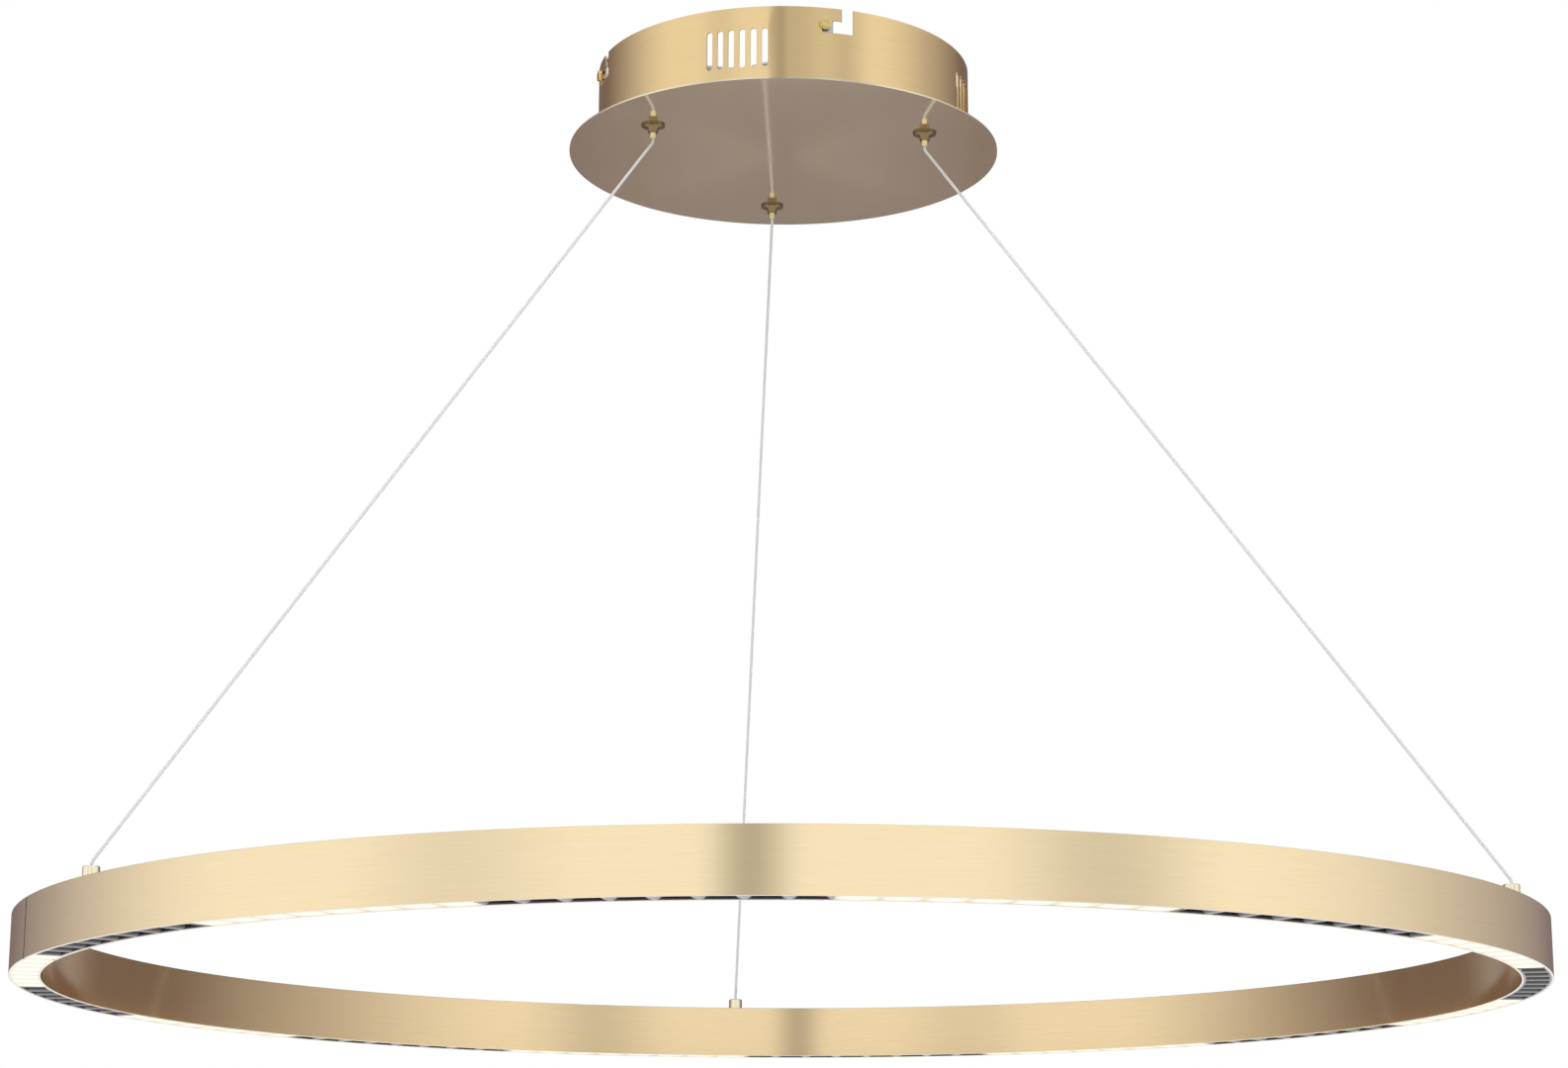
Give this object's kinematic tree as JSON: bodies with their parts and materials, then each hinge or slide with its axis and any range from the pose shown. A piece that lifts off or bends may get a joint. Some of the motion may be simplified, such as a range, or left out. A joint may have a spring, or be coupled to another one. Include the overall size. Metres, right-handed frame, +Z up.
{
  "type": "ring chandelier",
  "caption": "Ring chandelier: a hollow brushed-brass band with louvred and opal LED sections, hung on taut cables from a round bayonet-fixed ceiling canopy.",
  "frame": {"origin": "centre of the ceiling bracket's top face, in the ceiling plane, on the vertical axis", "axes": "+Z up through the ceiling; -Y faces the picture's viewer; +X to that viewer's right"},
  "size_m": [0.9999, 0.9999, 0.6467],
  "materials": {
    "canopy_brass": "fine lathe-brushed brass plating, satin",
    "ring_brass": "fine lengthwise-brushed brass anodising, satin",
    "polished_brass": "polished",
    "bracket_steel": "zinc plated",
    "spring_steel": "bright spring steel",
    "joint_aluminium": "mill finish",
    "louvre_black": "gloss black moulding",
    "opal": "satin opal diffuser, lit warm white",
    "lens_clear": "clear moulded lenses",
    "board_white": "white solder mask",
    "board_green": "green circuit board",
    "driver_white": "fine matt moulding",
    "lead_red": "insulated lead",
    "conductor_film": "insulating film over a flat conductor",
    "cable_sleeve": "clear sleeve over a bright stranded core"
  },
  "bodies": {
    "mount": {"ceiling_bracket": "bracket_steel", "bayonet_screws": "polished_brass", "earth_screw": "polished_brass"},
    "canopy": {"canopy_drum": "canopy_brass", "canopy_disc": "canopy_brass", "driver_case": "driver_white", "driver_cover": "driver_white", "driver_board": "board_green", "driver_screws": "bracket_steel", "driver_leads": "lead_red", "terminal_block": "driver_white", "terminal_screws": "bracket_steel", "cable_tails": "cable_sleeve", "gripper_body_1": "polished_brass", "gripper_body_2": "polished_brass", "gripper_body_3": "polished_brass", "gripper_nuts": "polished_brass", "gripper_washers": "bracket_steel", "gripper_caps": "polished_brass", "gripper_spring_1": "spring_steel", "gripper_spring_2": "spring_steel", "gripper_spring_3": "spring_steel", "cable_1": "cable_sleeve", "cable_2": "cable_sleeve", "cable_3": "cable_sleeve"},
    "tip_1": {"release_tip_1": "polished_brass", "gripper_balls_1": "spring_steel"},
    "tip_2": {"release_tip_2": "polished_brass", "gripper_balls_2": "spring_steel"},
    "tip_3": {"release_tip_3": "polished_brass", "gripper_balls_3": "spring_steel"},
    "ring": {"ring_profile": "ring_brass", "joint_bar": "joint_aluminium", "joint_screws": "polished_brass", "ring_anchors": "polished_brass", "cable_ends": "cable_sleeve", "cable_ferrules": "bracket_steel", "bus_strips": "conductor_film", "louvre_1": "louvre_black", "louvre_2": "louvre_black", "louvre_3": "louvre_black", "louvre_4": "louvre_black", "louvre_5": "louvre_black", "louvre_6": "louvre_black", "louvre_7": "louvre_black", "louvre_8": "louvre_black", "diffuser_1": "opal", "diffuser_2": "opal", "diffuser_3": "opal", "diffuser_4": "opal", "diffuser_5": "opal", "diffuser_6": "opal", "diffuser_7": "opal", "diffuser_8": "opal", "led_boards": "board_white", "lens_strips": "lens_clear", "board_screws": "bracket_steel"}
  },
  "joints": [
    {"name": "canopy_turn", "type": "hinge", "parent": "mount", "child": "canopy", "pos_m": [0, 0, 0], "axis": [0, 0, 1], "range_deg": [-6.8, 0]},
    {"name": "ring_height", "type": "slide", "parent": "canopy", "child": "ring", "axis": [0, 0, 1], "range_m": [0, 0.35], "deforming": ["cable_1", "cable_2", "cable_3"]},
    {"name": "release_tip_1_press", "type": "slide", "parent": "canopy", "child": "tip_1", "axis": [0, 0, 1], "range_m": [0, 0.0015], "stiffness_N_per_m": 400, "springref_m": -0.003, "deforming": ["gripper_spring_1"]},
    {"name": "release_tip_2_press", "type": "slide", "parent": "canopy", "child": "tip_2", "axis": [0, 0, 1], "range_m": [0, 0.0015], "stiffness_N_per_m": 400, "springref_m": -0.003, "deforming": ["gripper_spring_2"]},
    {"name": "release_tip_3_press", "type": "slide", "parent": "canopy", "child": "tip_3", "axis": [0, 0, 1], "range_m": [0, 0.0015], "stiffness_N_per_m": 400, "springref_m": -0.003, "deforming": ["gripper_spring_3"]}
  ]
}
